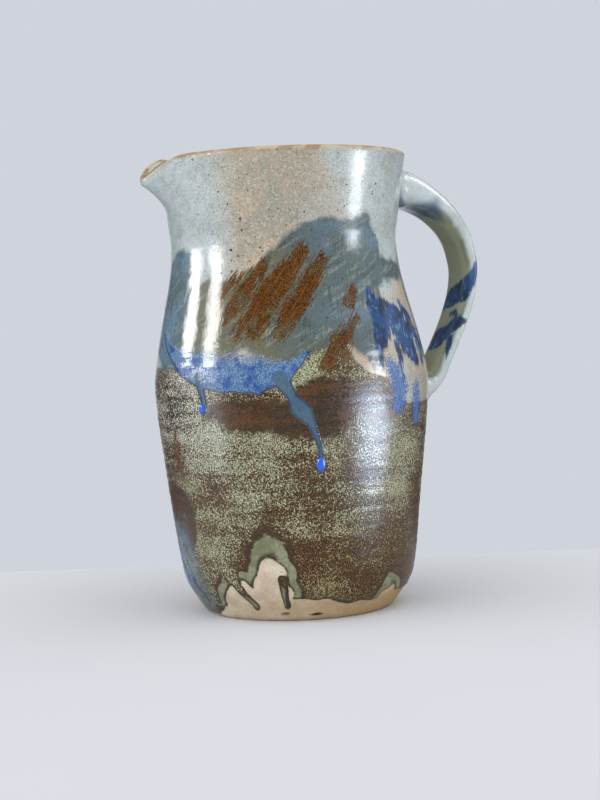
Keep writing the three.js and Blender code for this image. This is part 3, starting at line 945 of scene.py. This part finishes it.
def dab_colour(n):
    return n.layers(
        (20, 66, 122),
        ((92, 136, 172), (0.52, 0.64, n.mixed(n.falling, n.medium, 0.5))),
        ((10, 30, 52), 0.75, (0.48, 0.6, n.coarse)),
    )


def liner_colour(n):
    """The glaze inside the jug, paler under the rim."""
    return n.layers(
        (136, 126, 98),
        ((116, 102, 72), n.cloud),
        ((84, 62, 38), 0.5, (0.55, 0.7, n.grain)),
        ((172, 172, 156), 0.35, (-16, -8, n.add(n.field("edge"), n.swing(12, n.coarse)))),
    )


def glaze_material():
    n = Glazes()
    low, cover, cobalt, frost, soft, satin = map(n.field, "low cover cobalt frost soft satin".split())
    in_low = n.within("low", 5, 0.7, n.mixed(n.medium, n.grain, 0.5))
    brushed = n.weighed((0.5, n.coarse), (0.15, n.medium), (0.35, n.sweeping))
    in_veil = n.within("veil", n.mixed(8.0, 2.0, soft), 1.7, brushed)
    in_rust = n.within("rust", 22, 0.6, n.mixed(n.slanting, n.grain, 0.2))
    in_belt = n.within("belt", 18, 1.2, n.weighed((0.35, n.medium), (0.3, n.grain), (0.35, n.level)))
    powdery = n.add(n.grain, n.times(-0.14, frost), -0.5)
    in_cobalt = n.step(-0.5, 0.5, n.add(cobalt, n.times(n.mixed(1.2, 17, frost), powdery)))
    fallen = n.weighed((0.5, n.falling), (0.35, n.coarse), (0.15, n.medium))
    in_dab = n.within("dabs", n.mixed(17.0, 9.0, soft), 0.8, fallen)
    in_powder = n.within("powder", 22, 0.6, n.mixed(n.grain, n.falling, 0.3))
    in_cover = n.within("cover", 1.0, 0.25, n.medium)
    worn = n.times(n.step(60, 80, low), n.step(0.42, 0.56, n.mixed(n.medium, n.grain, 0.6)))
    rim = n.add(n.field("edge"), n.swing(3.0, n.medium), n.times(-1.4, n.field("inside")))
    at_rim = n.step(-3.4, -1.8, rim)

    # Each glaze in the order that it was laid on, then its dark outline
    glazed = n.layers(
        collar_colour(n),
        (belly_colour(n), in_low),
        ((78, 58, 38), 0.55, (1.6, 0.4, low), in_low),
        (belt_colour(n), 0.94, in_belt, (0.26, 0.42, n.grain)),
        (veil_colour(n), n.mixed(0.93, 0.35, worn), in_veil),
        (rust_colour(n), 0.96, in_rust),
        (dab_colour(n), 0.92, in_dab),
        (n.blend((92, 130, 178), (44, 92, 164), (0.4, 0.6, n.grain)), 0.85, in_powder),
        (cobalt_colour(n), 0.95, in_cobalt),
        ((38, 44, 52), 0.8, (1.4, 0.3, cobalt), in_cobalt, (0.3, 0.0, frost)),
        ((46, 78, 108), 0.75, n.within("pool", 8, 5, n.cloud)),
        ((26, 20, 16), 0.8, n.specks(5.2, 1.2, 0.3, 91), (0.5, 0.2, in_low)),
        ((50, 38, 20), 0.9, (1.9, 0.7, cover), (-0.3, 0.3, cover), (0.3, 0.5, n.medium)),
        (liner_colour(n), n.field("inside")),
        (n.blend((152, 118, 70), (188, 172, 140), (0.4, 0.6, n.coarse)), 0.85, at_rim),
    )
    rough = n.mixed(n.mixed(0.12, 0.22, satin), n.mixed(0.36, 0.14, n.mottle), in_low)
    rough = n.mixed(n.mixed(rough, 0.1, in_cobalt), 0.5, at_rim)

    # Heights in mm of what makes the surface uneven
    bumps = n.weighed(
        (n.mixed(n.mixed(0.03, 0.018, satin), 0.14, in_low), n.add(n.grain, -0.5)),
        (n.mixed(0.04, 0.055, in_veil), n.noise(2.4, 1, 0.5, 101)),
        (n.mixed(0.1, 0.08, in_veil), n.noise(5.5, 2, 0.5, 73)),
        (-0.12, n.specks(4.1, 0.6, 0.12, 77)),
        (n.mixed(0.14, 0.0, in_cover), n.noise(0.5, 2, 0.6, 81)),
        (0.16, in_cover),
        (0.06, in_cobalt),
    )
    n.filled(
        n.shader,
        Base_Color=n.blend(clay_colour(n), glazed, in_cover),
        Roughness=n.mixed(0.85, rough, in_cover),
        Normal=n.bump(bumps),
        IOR=1.42,
    )
    return n.owner


def polar(degrees, distance, height):
    """A place seen from the jug at so many degrees to the right of the camera."""
    angle = math.radians(FRONT + degrees)
    return np.array([math.cos(angle) * distance, math.sin(angle) * distance, height])


def bearing(degrees, rise):
    """The direction so many degrees to the right of the camera and so many above level."""
    return polar(degrees, math.cos(math.radians(rise)), math.sin(math.radians(rise)))


def turned(first, second, degrees):
    """Two square directions, turned so that the first moves towards the second."""
    cos, sin = math.cos(math.radians(degrees)), math.sin(math.radians(degrees))
    return first * cos + second * sin, second * cos - first * sin


def stand(name, data, place, right, up, back):
    """A camera or a lamp at a place, looking away from its back."""
    thing = add_object(name, data)
    thing.matrix_world = Matrix([*np.column_stack([right, up, back, place]).tolist(), (0, 0, 0, 1)])
    return thing


def make_camera():
    """Stands where the photograph was taken from: a little to the lip's side, below the rim, and tilted."""
    distance, height = 0.852, 0.145
    pitch, yaw, roll = -2.635, 0.273, 2.2
    focal_length, picture_height, sensor = 1657, 800, 36
    ahead, right = turned(-polar(0, 1, 0), polar(90, 1, 0), yaw)
    ahead, up = turned(ahead, np.array([0, 0, 1.0]), pitch)
    up, right = turned(up, right, roll)
    data = bpy.data.cameras.new("camera")
    data.sensor_width = sensor
    data.lens = focal_length / picture_height * sensor
    bpy.context.scene.camera = stand("camera", data, polar(0, distance, height), right, up, -ahead)


def make_table():
    near, far, wide = 3.0, -0.16, 3.0
    front, side = polar(0, 1, 0), polar(90, 1, 0)
    corners = (near, -wide), (near, wide), (far, wide), (far, -wide)
    mesh = bpy.data.meshes.new("table")
    mesh.from_pydata([front * out + side * aside for out, aside in corners], [], [(0, 1, 2, 3)])
    n = Surface("table_top")
    cloudy = n.blend((207, 209, 212), (212, 213, 216), n.noise(160, 3))
    n.filled(n.shader, Base_Color=cloudy, Roughness=0.9, Specular_IOR_Level=0.0)
    mesh.materials.append(n.owner)
    add_object("table", mesh)


def make_room():
    """Plain light from the front and both sides. The wall is pale, the mirrored room in front darker."""
    world = bpy.data.worlds.new("room")
    bpy.context.scene.world = world
    n = Nodes(world)
    where = n.node("TexCoord").outputs["Generated"]

    def towards(direction):
        return n.node("VectorMath", where, direction, operation="DOT_PRODUCT").outputs["Value"]

    # Degrees from the camera and above level, where each light begins to rise, and its strength
    sides = (0, 40, 0.0, 0.9), (-75, 28, 0.3, 0.62), (85, 28, 0.15, 0.5)
    lobes = [n.grade(towards(bearing(turn, rise)), begin, 1, 0, power) for turn, rise, begin, power in sides]
    light = n.tree.nodes["Background"]
    light.inputs["Color"].default_value = (0.96, 0.97, 1.0, 1)
    n.filled(light, Strength=n.add(0.39, *lobes))

    pale, dim, dark = (207, 211, 220), (112, 114, 118), (84, 88, 92)
    mirrored = n.node("ValToRGB", n.grade(towards(polar(0, 1, 0)), -1, 1, 0, 1, False))
    ramp = mirrored.color_ramp.elements
    for at, tone in ((0.012, pale), (0.04, dark), (0.2, dark), (0.38, pale), (0.65, pale), (0.92, dim)):
        ramp.new(at).color = (*paint(*tone), 1)
    ramp[0].color = ramp[1].color
    ramp[-1].color = ramp[-2].color
    room = n.node("Background", mirrored.outputs["Color"])
    wall = n.node("Background", pale)
    path = n.node("LightPath")
    shown = light.outputs[0]
    for ray, shader in (("Is Transmission Ray", wall), ("Is Glossy Ray", room), ("Is Camera Ray", wall)):
        shown = n.node("MixShader", path.outputs[ray], shown, shader.outputs[0]).outputs[0]
    n.put(n.tree.nodes["World Output"].inputs["Surface"], shown)


def area_light(name, place, towards, wide, high, power, colour=(1, 1, 1)):
    """A lamp that is only mirrored in the glaze: the room lights everything."""
    data = bpy.data.lights.new(name, "AREA")
    data.shape = "RECTANGLE"
    data.size, data.size_y = wide, high
    data.energy = power
    data.color = colour
    back = -np.array(towards) / np.linalg.norm(towards)
    across = np.cross([0, 0, 1.0], back)
    across /= np.linalg.norm(across)
    lamp = stand(name, data, place, across, np.cross(back, across), back)
    lamp.visible_diffuse = False
    return lamp


def soften(data):
    """Lets a lamp fade from its middle to nothing at its edge."""
    n = Nodes(data)
    shape = n.node("NewGeometry").outputs["Parametric"]
    from_middle = n.node("VectorMath", shape, (0.5, 0.5, 0), operation="DISTANCE")
    fading = n.grade(from_middle.outputs["Value"], 0.15, 0.5, 1, 0)
    n.filled(n.tree.nodes["Emission"], Strength=fading)


def make_lights():
    for name, place, aim, wide, high, power in (
        ("window_left_pane", polar(-98, 1.1, 0.55), (0, 0, 0.12), 0.25, 0.46, 10),
        ("window_right_pane", polar(-71, 1.1, 0.55), (0, 0, 0.12), 0.27, 0.46, 10),
        ("high_window", polar(90, 1.0, 0.92), (0.08, 0, 0.2), 0.7, 0.55, 8),
    ):
        area_light(name, place, aim - place, wide, high, power)

    # Pale sheens that the collar and the belly mirror, soft at their edges and beamed at the front only
    for name, place, heading, rise, wide, high, beam, power, colour in (
        ("collar_sheen", (69, 0.4, 0.185), 267, 0, 0.16, 0.12, 56, 0.24, (0.88, 0.94, 1.0)),
        ("belly_sheen", (59, 0.2, 0.065), 253, 15, 0.11, 0.11, 64, 0.26, (0.60, 0.77, 1.0)),
        ("far_belly_sheen", (-58, 0.22, 0.07), 108, 10, 0.04, 0.13, 64, 0.02, (0.8, 0.85, 1.0)),
    ):
        lamp = area_light(name, polar(*place), bearing(heading, rise), wide, high, power, colour)
        lamp.data.spread = math.radians(beam)
        lamp.visible_camera = False
        soften(lamp.data)


bpy.context.scene.view_settings.view_transform = "Standard"
make_camera()
make_table()
make_room()
make_lights()
pieces = [make_body(), make_strap(), make_joint(True), make_joint(False)]
pieces += [make_bead(number, *bead) for number, bead in enumerate(BEADS, 1)]
glaze = glaze_material()
for piece in pieces:
    piece.data.materials.append(glaze)
